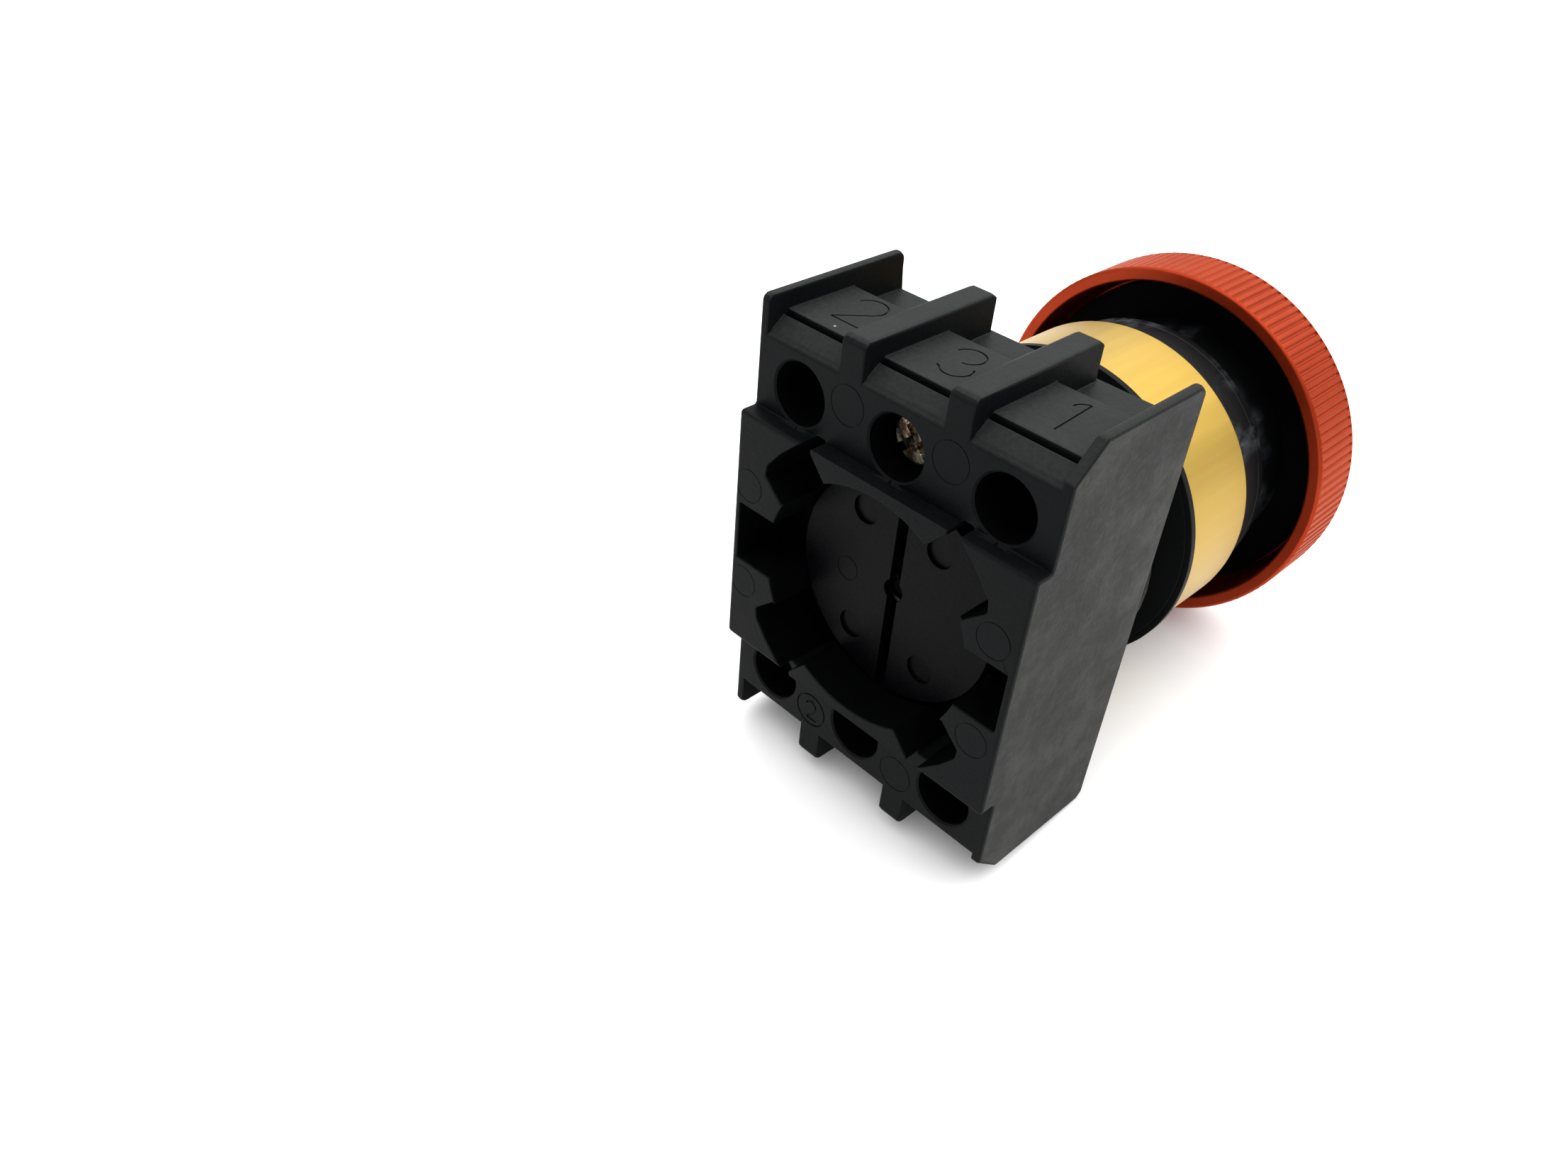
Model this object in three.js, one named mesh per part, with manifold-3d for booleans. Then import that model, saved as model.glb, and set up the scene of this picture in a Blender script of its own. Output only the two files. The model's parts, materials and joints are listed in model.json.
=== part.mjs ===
// Emergency stop push button: a panel actuator with a twist-to-release mushroom head, and the
// contact block that locks onto its rear end.
// Millimetres, +Z up. The axis of the button is Y: the head faces -Y, the contact block is on +Y.
// The origin is on the axis in the plane of the panel's front face, where the gasket seats.

import * as THREE from 'three';
import { mergeVertices } from 'three/addons/utils/BufferGeometryUtils.js';
import Module from 'manifold-3d';

const wasm = await Module();
wasm.setup();

// ---------------------------------------------------------------- driving dimensions

// Motion
const PRESS_TRAVEL = 4.0;
const CLAMP_TRAVEL = 2.0;
const LATCH_SLOPE = 0.2;
const CLEARANCE = 0.3;
const THROUGH = 30;

// Panel side
const GASKET_R = 14.67;
const GASKET_THICKNESS = 0.66;
const BEZEL_R = 14.25;
const BEZEL_WALL = 0.65;
const BEZEL_FRONT_Y = -10.05;
const BARREL_R = 11.0;
const BARREL_BORE_R = 8.8;
const BARREL_REAR_Y = 6.8;
const THREAD_PITCH = 1.5;
const THREAD_DEPTH = 0.65;
const FLANGE_R = 13.3;
const FLANGE_FRONT_Y = -2.5;
const BODY_FRONT_Y = -9.5;
const BODY_WALL = 1.5;
const BODY_FRONT_BORE_R = 4.9;
const NUT_R = 13.4;
const NUT_FRONT_Y = 4.4;
const NUT_THICKNESS = 2.5;
const NUT_SLOTS = 8;
const NUT_SLOT_DEPTH = 0.9;
const NUT_SLOT_HALF_WIDTH = 1.3;
const LOCK_RING_THICKNESS = 0.6;
const KEY_HALF_WIDTH = 0.9;
const LUG_HALF_WIDTH = 1.5;
const LUG_Y = [4.9, 5.9];

// Head
const HEAD_R = 17.5;
const HEAD_RIM_INNER_R = 16.2;
const HEAD_RIM_Y = -17.0;
const HEAD_INNER_Y = -22.2;
const HEAD_SHOULDER_Y = -23.2;
const HEAD_FRONT_Y = -24.9;
const CROWN_R = 16.6;
const CROWN_DROP = 1.0;
const RIM_CHAMFER = 0.25;
const RIM_FILLET = 0.6;
const HUB_R = 15.4;
const HUB_BOSS_R = 5.0;
const HUB_DISC_Y = -20.6;
const HUB_BOSS_Y = -16.0;
const SKIRT_R = 13.35;
const SKIRT_NECK_R = 12.2;
const SKIRT_REAR_Y = -7.6;
const SKIRT_STEP_Y = -14.7;
const STEM_R = 3.0;
const STEM_REAR_Y = 4.2;
const CONE_REAR_Y = -4.0;
const LATCH_PIN_Y = -3.0;
const LATCH_PIN_R = 0.9;
const LATCH_PIN_LENGTH = 3.0;
const LATCH_BORE_R = 1.25;
const LATCH_SLEEVE_BORE_R = 4.4;
const LATCH_SLEEVE_Y = [-7.0, -1.0];
const CIRCLIP_R = 4.6;
const CIRCLIP_THICKNESS = 0.7;
const CIRCLIP_GAP = 2.2;

// Contact block
const BLOCK_HALF_WIDTH = 14.75;
const BLOCK_FRONT_Y = 7.35;
const TERMINAL_FACE_Y = 22.88;
const COLLAR_Y = 24.5;
const COLLAR_HALF_HEIGHT = 11.45;
const COLLAR_ROOT_Y = 18.0;
const BODY_HALF_HEIGHT = 17.6;
const TILE_TOP = 19.35;
const TILE_FRONT_Y = 13.3;
const TILE_REAR_Y = 20.78;
const GROOVE = 0.4;
const WING_HALF_HEIGHT = 20.95;
const WING_THICKNESS = 0.9;
const WING_CHAMFER = 2.6;
const FIN_X = 5.05;
const FIN_THICKNESS = 2.4;
const FIN_FRONT_Y = 7.8;
const WELL_R = 10.5;
const COVER_R = 10.0;
const COVER_REAR_Y = 20.45;
const COVER_THICKNESS = 0.9;
const COVER_SLOT = 1.0;
const COVER_HOLE_R = 0.95;
const CHAMBER_R = 9.2;
const FRONT_COVER_THICKNESS = 1.4;
const NOTCH_FLOOR_Y = 18.2;
const SIDE_NOTCH_X = [9.0, 14.15];
const SIDE_NOTCH_HALF_HEIGHT = 2.8;
const POCKET_HALF_WIDTH = 12.6;
const POCKET_HALF_HEIGHT = 15.6;
const TERMINAL_PITCH = 10.0;
const TERMINAL_Z = 14.2;
const ACCESS_HOLE_R = 2.65;
const CAVITY_REAR_Y = 18.9;
const WIRE_ENTRY_HALF_WIDTH = 2.2;
const WIRE_ENTRY_Y = [10.5, 12.9];
const EMPTY_HOLE_END_Y = 14.9;
const CAVITY_Z = [11.0, 16.9];

// Contacts and terminals
const PLUNGER_R = 3.0;
const PLUNGER_FRONT_Y = 4.5;
const PLUNGER_SHOULDER_Y = 11.2;
const PLUNGER_TIP_Y = 19.6;
const PLUNGER_STEP_Y = 15.2;
const PLUNGER_SHANK_R = 1.1;
const PLUNGER_TIP_R = 0.7;
const STRIP = 1.0;
const STRIP_FRONT_Y = 9.2;
const TIP_R = 1.1;
const TIP_HEIGHT = 0.6;
const TIP_Z = 6.6;
const TAPPED_LEG_Y = 15.3;
const LEG_Z = [11.3, 16.6];
const LEG_HALF_WIDTH = 2.9;
const ARM_HALF_WIDTH = 1.6;
const SCREW_HEAD_R = 2.3;
const SCREW_HEAD_Y = 20.5;
const SCREW_HEAD_HEIGHT = 1.6;
const SCREW_SHANK_R = 1.4;
const DRIVE_DEPTH = 0.8;
const DRIVE_HALF_WIDTH = 0.35;

// Springs: radius of the coil, thickness of the wire, turns, and steps in each turn
const TWIST_SPRING = { radius: 6.0, wire: 0.6, turns: 4, steps: 12 };
const RETURN_SPRING = { radius: 8.3, wire: 0.9, turns: 5, steps: 16 };
const LATCH_SPRING = { radius: 0.65, wire: 0.25, turns: 4, steps: 8 };
const CONTACT_SPRING = { radius: 1.9, wire: 0.45, turns: 5, steps: 12 };

// ---------------------------------------------------------------- materials

const finish = (color, roughness, metalness) =>
  new THREE.MeshStandardMaterial({ color, roughness, metalness });

const RED_ANODISED = finish(0xc22f1c, 0.38, 0.75);
const GOLD_ANODISED = finish(0xd9b45c, 0.3, 0.85);
const BLACK_PLASTIC = finish(0x1b1c1e, 0.6, 0.0);
const DARK_PLASTIC = finish(0x26282b, 0.5, 0.0);
const RUBBER = finish(0x141516, 0.75, 0.0);
const STEEL = finish(0xb4b6b8, 0.35, 0.9);
const ZINC = finish(0x9c9ea0, 0.45, 0.8);
const BRASS = finish(0xb98a45, 0.35, 0.9);
const SILVER = finish(0xe0dfd8, 0.25, 0.95);

// ---------------------------------------------------------------- solid helpers

// A closed three.js geometry as a manifold solid, with its faces turned outwards.
function toSolid(geometry) {
  const bare = geometry.clone();
  bare.deleteAttribute('normal');
  bare.deleteAttribute('uv');
  const merged = mergeVertices(bare, 1e-4);
  const corners = merged.index.array;
  const faces = [];
  for (let i = 0; i < corners.length; i += 3) {
    const [a, b, c] = [corners[i], corners[i + 1], corners[i + 2]];
    if (a !== b && b !== c && c !== a) faces.push(a, b, c);
  }
  const build = (indices) => new wasm.Manifold(new wasm.Mesh({
    numProp: 3,
    vertProperties: new Float32Array(merged.attributes.position.array),
    triVerts: new Uint32Array(indices),
  }));
  const solid = build(faces);
  if (solid.volume() > 0) return solid;
  const flipped = [];
  for (let i = 0; i < faces.length; i += 3) flipped.push(faces[i], faces[i + 2], faces[i + 1]);
  return build(flipped);
}

function toGeometry(solid) {
  const mesh = solid.getMesh();
  const geometry = new THREE.BufferGeometry();
  geometry.setAttribute('position', new THREE.BufferAttribute(mesh.vertProperties, 3));
  geometry.setIndex(new THREE.BufferAttribute(mesh.triVerts, 1));
  const faceted = geometry.toNonIndexed();
  faceted.computeVertexNormals();
  return faceted;
}

const join = (first, ...others) => others.reduce((sum, next) => sum.add(next), first);
const cut = (first, ...others) => others.reduce((rest, next) => rest.subtract(next), first);

// A box between two corners.
function box(x0, x1, y0, y1, z0, z1) {
  const geometry = new THREE.BoxGeometry(x1 - x0, y1 - y0, z1 - z0);
  geometry.translate((x0 + x1) / 2, (y0 + y1) / 2, (z0 + z1) / 2);
  return toSolid(geometry);
}

// A solid of revolution about the Y axis, from points [radius, y].
function turned(profile, segments = 48) {
  return toSolid(new THREE.LatheGeometry(profile.map(([r, y]) => new THREE.Vector2(r, y)), segments));
}

const rod = (r, y0, y1, segments = 32) => turned([[0, y0], [r, y0], [r, y1], [0, y1]], segments);

const ring = (inner, outer, y0, y1, segments = 48) =>
  turned([[inner, y0], [outer, y0], [outer, y1], [inner, y1], [inner, y0]], segments);

// A flat outline of [y, z] points, as thick as the span x0 to x1.
function acrossX(points, x0, x1) {
  const shape = new THREE.Shape(points.map(([y, z]) => new THREE.Vector2(y, z)));
  const geometry = new THREE.ExtrudeGeometry(shape, { depth: x1 - x0, bevelEnabled: false });
  const [ex, ey, ez] = [new THREE.Vector3(1, 0, 0), new THREE.Vector3(0, 1, 0), new THREE.Vector3(0, 0, 1)];
  geometry.applyMatrix4(new THREE.Matrix4().makeBasis(ey, ez, ex));
  geometry.translate(x0, 0, 0);
  return toSolid(geometry);
}

// A flat outline of [x, z] points, as deep as the span y0 to y1.
function alongY(points, y0, y1) {
  const shape = new THREE.Shape(points.map(([x, z]) => new THREE.Vector2(x, z)));
  const geometry = new THREE.ExtrudeGeometry(shape, { depth: y1 - y0, bevelEnabled: false });
  const [ex, ez] = [new THREE.Vector3(1, 0, 0), new THREE.Vector3(0, 0, 1)];
  geometry.applyMatrix4(new THREE.Matrix4().makeBasis(ex, ez, new THREE.Vector3(0, -1, 0)));
  geometry.translate(0, y1, 0);
  return toSolid(geometry);
}

class Helix extends THREE.Curve {
  constructor(radius, length, turns) {
    super();
    Object.assign(this, { radius, length, turns });
  }

  getPoint(t) {
    const angle = 2 * Math.PI * this.turns * t;
    return new THREE.Vector3(this.radius * Math.cos(angle), this.length * t, this.radius * Math.sin(angle));
  }
}

// A coil spring about the Y axis whose wire fills the span y0 to y1.
function coil({ radius, wire, turns, steps }, y0, y1) {
  const halfSides = 3;
  const section = new THREE.Shape();
  section.absarc(0, 0, wire / 2, 0, 2 * Math.PI);
  const path = new Helix(radius, y1 - y0 - wire, turns);
  const geometry = new THREE.ExtrudeGeometry(section, {
    curveSegments: halfSides,
    steps: turns * steps,
    extrudePath: path,
  });
  geometry.translate(0, y0 + wire / 2, 0);
  return toSolid(geometry);
}

const mirroredX = (points) => points.map(([x, z]) => [-x, z]).reverse();
const mirroredZ = (points) => points.map(([x, z]) => [x, -z]).reverse();

// ---------------------------------------------------------------- the scene graph

const button = new THREE.Group();
const actuator = new THREE.Group();
const contactBlock = new THREE.Group();
button.add(actuator, contactBlock);

function place(group, name, solid, material) {
  const mesh = new THREE.Mesh(toGeometry(solid), material);
  mesh.name = name;
  group.add(mesh);
  return mesh;
}

// ---------------------------------------------------------------- head

function mushroomHead() {
  const crown = [0, 0.4, 0.65, 0.85, 1].map((t) => [CROWN_R * t, HEAD_FRONT_Y + CROWN_DROP * t ** 4]);
  return turned([
    ...crown, [HEAD_R, HEAD_SHOULDER_Y], [HEAD_R, HEAD_RIM_Y - RIM_CHAMFER],
    [HEAD_R - RIM_CHAMFER, HEAD_RIM_Y], [HEAD_RIM_INNER_R, HEAD_RIM_Y],
    [HEAD_RIM_INNER_R, HEAD_INNER_Y + RIM_FILLET], [HEAD_RIM_INNER_R - RIM_FILLET, HEAD_INNER_Y],
    [0, HEAD_INNER_Y],
  ], 60);
}

function headHub() {
  const bore = STEM_R + CLEARANCE;
  return turned([
    [bore, HEAD_INNER_Y], [HUB_R, HEAD_INNER_Y], [HUB_R, HUB_DISC_Y], [HUB_BOSS_R, HUB_DISC_Y],
    [HUB_BOSS_R, HUB_BOSS_Y], [bore, HUB_BOSS_Y], [bore, HEAD_INNER_Y],
  ], 40);
}

// The skirt slides between the bezel sleeve and the guide tube of the body.
function plungerSkirt() {
  const inner = BARREL_R + CLEARANCE;
  return turned([
    [inner, HUB_DISC_Y], [SKIRT_NECK_R, HUB_DISC_Y], [SKIRT_NECK_R, SKIRT_STEP_Y - 0.1],
    [SKIRT_R - 0.25, SKIRT_STEP_Y], [SKIRT_R, SKIRT_STEP_Y + 0.25], [SKIRT_R, SKIRT_REAR_Y],
    [inner, SKIRT_REAR_Y], [inner, HUB_DISC_Y],
  ], 48);
}

place(actuator, 'mushroom_head', mushroomHead(), RED_ANODISED);
place(actuator, 'head_hub', headHub(), DARK_PLASTIC);
place(actuator, 'plunger_skirt', plungerSkirt(), DARK_PLASTIC);
const springFootY = HUB_DISC_Y + CLEARANCE / 2;
place(actuator, 'twist_spring', coil(TWIST_SPRING, springFootY, HUB_BOSS_Y), STEEL);
place(actuator, 'return_spring', coil(RETURN_SPRING, springFootY, BODY_FRONT_Y - CLEARANCE / 2), STEEL);

// ---------------------------------------------------------------- stem and latch

const coneHeight = LATCH_SLOPE * PRESS_TRAVEL;
const coneFrontY = CONE_REAR_Y - PRESS_TRAVEL;

function stem() {
  return turned([
    [0, HEAD_INNER_Y + CLEARANCE], [STEM_R, HEAD_INNER_Y + CLEARANCE], [STEM_R, coneFrontY - 0.1],
    [STEM_R + coneHeight, coneFrontY], [STEM_R, CONE_REAR_Y], [STEM_R, STEM_REAR_Y - 0.4],
    [STEM_R - 0.4, STEM_REAR_Y], [0, STEM_REAR_Y],
  ], 32);
}

// A snap ring with a gap on one side.
function circlip(y0) {
  const whole = ring(STEM_R + 0.25, CIRCLIP_R, y0, y0 + CIRCLIP_THICKNESS, 32);
  return cut(whole, box(0, 2 * CIRCLIP_R, y0 - 1, y0 + 2, -CIRCLIP_GAP / 2, CIRCLIP_GAP / 2));
}

function stemSeal() {
  return ring(STEM_R + CLEARANCE, BODY_FRONT_BORE_R - CLEARANCE, BODY_FRONT_Y + 0.2, BODY_FRONT_Y + 1.3, 32);
}

// A solid about the Y axis, turned to lie along X in the plane of the latch pins.
function alongX(solid, x) {
  return solid.rotate([0, 0, -90]).translate([x, LATCH_PIN_Y, 0]);
}

function latchSleeve() {
  const pinBore = alongX(rod(LATCH_BORE_R, -THROUGH, THROUGH, 20), 0);
  return cut(ring(LATCH_SLEEVE_BORE_R, BARREL_BORE_R - CLEARANCE, ...LATCH_SLEEVE_Y, 40), pinBore);
}

place(actuator, 'stem', stem(), ZINC);
place(actuator, 'hub_circlip', circlip(HUB_BOSS_Y + 0.4), STEEL);
place(actuator, 'stem_circlip', circlip(-0.7), STEEL);
place(actuator, 'stem_seal', stemSeal(), RUBBER);
place(actuator, 'latch_sleeve', latchSleeve(), ZINC);

const pinTip = STEM_R + CLEARANCE;
const pinEnd = pinTip + LATCH_PIN_LENGTH;
const latchSpringX = pinEnd + 0.15;
const latchPin = alongX(rod(LATCH_PIN_R, 0, LATCH_PIN_LENGTH, 16), pinTip);
const latchSpring = alongX(coil(LATCH_SPRING, 0, BARREL_BORE_R - latchSpringX - 0.25), latchSpringX);
for (const [side, turn] of [['right', 0], ['left', Math.PI]]) {
  const pin = place(actuator, `latch_pin_${side}`, latchPin, STEEL);
  pin.rotation.y = turn;
  const spring = place(actuator, `latch_spring_${side}`, latchSpring, STEEL);
  spring.rotation.y = turn;
}

// ---------------------------------------------------------------- body, bezel, gasket and nut

function actuatorBody() {
  const thread = [];
  for (let y = BARREL_REAR_Y - 0.4; y > THREAD_PITCH; y -= THREAD_PITCH) {
    thread.push([BARREL_R, y], [BARREL_R - THREAD_DEPTH, y - THREAD_PITCH / 2]);
  }
  const shell = turned([
    [BARREL_BORE_R, BARREL_REAR_Y], [BARREL_R - 0.4, BARREL_REAR_Y], ...thread,
    [BARREL_R, -GASKET_THICKNESS], [FLANGE_R, -GASKET_THICKNESS], [FLANGE_R, FLANGE_FRONT_Y],
    [BARREL_R, FLANGE_FRONT_Y], [BARREL_R, BODY_FRONT_Y + 0.3], [BARREL_R - 0.3, BODY_FRONT_Y],
    [BODY_FRONT_BORE_R, BODY_FRONT_Y], [BODY_FRONT_BORE_R, BODY_FRONT_Y + BODY_WALL],
    [BARREL_BORE_R, BODY_FRONT_Y + BODY_WALL], [BARREL_BORE_R, BARREL_REAR_Y],
  ], 48);
  const slotHalf = LUG_HALF_WIDTH + 0.4;
  const lugSlots = box(-10.0, 10.0, LUG_Y[0] - 0.6, BARREL_REAR_Y + 1, -slotHalf, slotHalf);
  const keyHalf = KEY_HALF_WIDTH + 0.4;
  const keyway = box(-keyHalf, keyHalf, 0.4, BARREL_REAR_Y + 1, -12, -9.9);
  return cut(shell, lugSlots, keyway);
}

function bezelSleeve() {
  const inner = BEZEL_R - BEZEL_WALL;
  return turned([
    [inner, BEZEL_FRONT_Y], [BEZEL_R - 0.2, BEZEL_FRONT_Y], [BEZEL_R, BEZEL_FRONT_Y + 0.2],
    [BEZEL_R, -GASKET_THICKNESS - 0.35], [BEZEL_R - 0.35, -GASKET_THICKNESS],
    [inner, -GASKET_THICKNESS], [inner, BEZEL_FRONT_Y],
  ], 60);
}

// The ring's tongue runs in the keyway of the barrel, so it slides without turning.
function lockRing() {
  const rearY = NUT_FRONT_Y - 0.05;
  const frontY = rearY - LOCK_RING_THICKNESS;
  const plain = ring(BARREL_R + CLEARANCE, NUT_R, frontY, rearY, 48);
  return join(plain, box(-KEY_HALF_WIDTH, KEY_HALF_WIDTH, frontY, rearY, -12.5, -10.2));
}

function mountingNut() {
  const rearY = NUT_FRONT_Y + NUT_THICKNESS;
  let nut = ring(BARREL_R + CLEARANCE, NUT_R, NUT_FRONT_Y, rearY, 48);
  const innerX = NUT_R - NUT_SLOT_DEPTH;
  const half = NUT_SLOT_HALF_WIDTH;
  const slot = box(innerX, THROUGH, NUT_FRONT_Y + 0.9, rearY + 1, -half, half);
  for (let i = 0; i < NUT_SLOTS; i += 1) {
    nut = nut.subtract(slot.rotate([0, (360 * (i + 0.5)) / NUT_SLOTS, 0]));
  }
  return nut;
}

place(actuator, 'actuator_body', actuatorBody(), BLACK_PLASTIC);
place(actuator, 'bezel_sleeve', bezelSleeve(), GOLD_ANODISED);
place(actuator, 'front_gasket', ring(BARREL_R + CLEARANCE, GASKET_R, -GASKET_THICKNESS, 0, 60), RUBBER);
place(actuator, 'lock_ring', lockRing(), BLACK_PLASTIC);
place(actuator, 'mounting_nut', mountingNut(), BLACK_PLASTIC);

// ---------------------------------------------------------------- contact block housing

// The upper edge of the body, from the terminal face to the front: a chamfer in two steps, a narrow
// groove, the raised number tile, and the lower strip in front of it.
const upperEdge = [
  [TERMINAL_FACE_Y, BODY_HALF_HEIGHT + 0.1],
  [TERMINAL_FACE_Y - 0.38, BODY_HALF_HEIGHT + 0.4],
  [TERMINAL_FACE_Y - 0.44, BODY_HALF_HEIGHT + 0.52],
  [TILE_REAR_Y + GROOVE, BODY_HALF_HEIGHT + 1.45],
  [TILE_REAR_Y + GROOVE, BODY_HALF_HEIGHT + 0.3],
  [TILE_REAR_Y, BODY_HALF_HEIGHT + 0.3],
  [TILE_REAR_Y, TILE_TOP],
  [TILE_FRONT_Y, TILE_TOP],
  [TILE_FRONT_Y, BODY_HALF_HEIGHT],
  [BLOCK_FRONT_Y, BODY_HALF_HEIGHT],
];

// A rectangle of [y, z] points with its four corners cut off.
function chamferedPlate(y0, y1, halfHeight, frontCut, rearCutY, rearCutZ) {
  const upper = [
    [y1, halfHeight - rearCutZ], [y1 - rearCutY, halfHeight],
    [y0 + frontCut, halfHeight], [y0, halfHeight - frontCut],
  ];
  return [...upper, ...mirroredZ(upper)];
}

// One dovetail notch of the collar, on the +X and +Z side, open through a narrow gap at the top.
const dovetailNotch = [
  [7.75, 11.6], [6.85, 11.6], [6.85, 11.05], [5.1, 9.1], [6.5, 6.0], [9.45, 5.0], [11.4, 6.8],
  [11.25, 7.8], [10.0, 9.4],
];

function contactHousing() {
  const wingInner = BLOCK_HALF_WIDTH - WING_THICKNESS;
  const core = acrossX([...upperEdge, ...mirroredZ(upperEdge)], -wingInner - 0.2, wingInner + 0.2);
  const [collarX, collarZ] = [BLOCK_HALF_WIDTH, COLLAR_HALF_HEIGHT];
  const collar = box(-collarX, collarX, COLLAR_ROOT_Y, COLLAR_Y, -collarZ, collarZ);
  const squareWing = chamferedPlate(BLOCK_FRONT_Y, TERMINAL_FACE_Y, WING_HALF_HEIGHT, 0.4, 0.4, 0.4);
  const cutWing = chamferedPlate(
    BLOCK_FRONT_Y, TERMINAL_FACE_Y, WING_HALF_HEIGHT, 0.7, WING_CHAMFER + 0.4, WING_CHAMFER);
  const fin = chamferedPlate(FIN_FRONT_Y, TERMINAL_FACE_Y, WING_HALF_HEIGHT, 0.4, 0.4, 0.4);
  let housing = join(
    core, collar,
    acrossX(squareWing, wingInner, BLOCK_HALF_WIDTH),
    acrossX(cutWing, -BLOCK_HALF_WIDTH, -wingInner),
    acrossX(fin, FIN_X - FIN_THICKNESS / 2, FIN_X + FIN_THICKNESS / 2),
    acrossX(fin, -FIN_X - FIN_THICKNESS / 2, -FIN_X + FIN_THICKNESS / 2),
  );

  // The round well of the collar, with its notches, and the contact chamber behind the covers.
  const coverFrontY = COVER_REAR_Y - COVER_THICKNESS;
  const rebateY = BLOCK_FRONT_Y + FRONT_COVER_THICKNESS;
  const [pocketX, pocketZ] = [POCKET_HALF_WIDTH, POCKET_HALF_HEIGHT];
  const notchZ = SIDE_NOTCH_HALF_HEIGHT;
  const sideNotch = box(...SIDE_NOTCH_X, NOTCH_FLOOR_Y, COLLAR_Y + 1, -notchZ, notchZ);
  housing = cut(
    housing,
    rod(WELL_R, coverFrontY, COLLAR_Y + 1, 64),
    rod(CHAMBER_R, rebateY - 0.5, coverFrontY + 0.5, 48),
    box(-pocketX, pocketX, BLOCK_FRONT_Y - 1, rebateY, -pocketZ, pocketZ),
    sideNotch,
    sideNotch.rotate([0, 180, 0]),
  );
  const upperNotches = [dovetailNotch, mirroredX(dovetailNotch)];
  for (const notch of [...upperNotches, ...upperNotches.map(mirroredZ)]) {
    housing = housing.subtract(alongY(notch, NOTCH_FLOOR_Y, COLLAR_Y + 1));
  }

  // Screw access holes and wire entries, above and below; only the middle pair holds a terminal.
  for (const x of [-TERMINAL_PITCH, 0, TERMINAL_PITCH]) {
    for (const up of [1, -1]) {
      const holeEndY = x === 0 ? CAVITY_REAR_Y - 0.5 : EMPTY_HOLE_END_Y;
      const wireEnd = x === 0 ? 16.5 : 12.5;
      const access = rod(ACCESS_HOLE_R, holeEndY, TERMINAL_FACE_Y + 1, 32).translate([x, 0, up * TERMINAL_Z]);
      const [low, high] = [up * wireEnd, up * (BODY_HALF_HEIGHT + 1)].sort((a, b) => a - b);
      const wire = box(x - WIRE_ENTRY_HALF_WIDTH, x + WIRE_ENTRY_HALF_WIDTH, ...WIRE_ENTRY_Y, low, high);
      housing = cut(housing, access, wire);
    }
  }

  // The two terminal cavities, each with a passage for its contact arm into the chamber.
  for (const turn of [0, 180]) {
    const cavity = join(
      box(-3.4, 3.4, rebateY - 0.5, CAVITY_REAR_Y, ...CAVITY_Z),
      box(-2.2, 2.2, rebateY - 0.5, 12.0, 7.5, CAVITY_Z[0] + 0.5),
    );
    housing = housing.subtract(cavity.rotate([0, turn, 0]));
  }
  return housing;
}

// The rear cover is a disc in two halves, apart by a slot, with a hole for the tip of the plunger.
function rearCover(side) {
  const disc = rod(COVER_R, COVER_REAR_Y - COVER_THICKNESS, COVER_REAR_Y, 64);
  const edge = (side * COVER_SLOT) / 2;
  const [low, high] = [edge, side * 12].sort((a, b) => a - b);
  const half = disc.intersect(box(low, high, 0, THROUGH, -12, 12));
  return half.subtract(rod(COVER_HOLE_R, 0, THROUGH, 20));
}

// The front cover has a round boss that locks into the barrel with two lugs.
function frontCover() {
  const rearY = BLOCK_FRONT_Y + FRONT_COVER_THICKNESS;
  const [x, z] = [POCKET_HALF_WIDTH - CLEARANCE, POCKET_HALF_HEIGHT - CLEARANCE];
  const plate = box(-x, x, BLOCK_FRONT_Y, rearY, -z, z);
  const boss = rod(BARREL_BORE_R - 0.4, 4.6, BLOCK_FRONT_Y + 0.5, 48);
  const lugs = box(-9.7, 9.7, ...LUG_Y, -LUG_HALF_WIDTH, LUG_HALF_WIDTH);
  return cut(join(plate, boss, lugs), rod(PLUNGER_R + CLEARANCE, 0, THROUGH, 32));
}

place(contactBlock, 'contact_housing', contactHousing(), BLACK_PLASTIC);
place(contactBlock, 'rear_cover_left', rearCover(1), BLACK_PLASTIC);
place(contactBlock, 'rear_cover_right', rearCover(-1), BLACK_PLASTIC);
place(contactBlock, 'front_cover', frontCover(), BLACK_PLASTIC);

// ---------------------------------------------------------------- moving contact

const bridgeFrontY = PLUNGER_SHOULDER_Y + CLEARANCE;
const bridgeThickness = 0.7;
const springFrontY = bridgeFrontY + bridgeThickness + 0.1;
const springSeatY = COVER_REAR_Y - COVER_THICKNESS - 0.1;

function contactPlunger() {
  return turned([
    [0, PLUNGER_FRONT_Y], [PLUNGER_R - 0.3, PLUNGER_FRONT_Y], [PLUNGER_R, PLUNGER_FRONT_Y + 0.3],
    [PLUNGER_R, PLUNGER_SHOULDER_Y], [PLUNGER_SHANK_R, PLUNGER_SHOULDER_Y],
    [PLUNGER_SHANK_R, PLUNGER_STEP_Y], [PLUNGER_TIP_R, PLUNGER_STEP_Y],
    [PLUNGER_TIP_R, PLUNGER_TIP_Y], [0, PLUNGER_TIP_Y],
  ], 32);
}

function contactBridge() {
  const rearY = bridgeFrontY + bridgeThickness;
  const strip = box(-ARM_HALF_WIDTH, ARM_HALF_WIDTH, bridgeFrontY, rearY, -8.0, 8.0);
  return strip.subtract(rod(1.4, 0, THROUGH, 24));
}

place(contactBlock, 'contact_plunger', contactPlunger(), DARK_PLASTIC);
place(contactBlock, 'contact_bridge', contactBridge(), BRASS);
place(contactBlock, 'contact_spring', coil(CONTACT_SPRING, springFrontY, springSeatY), STEEL);

// ---------------------------------------------------------------- terminals, above and below

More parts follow.
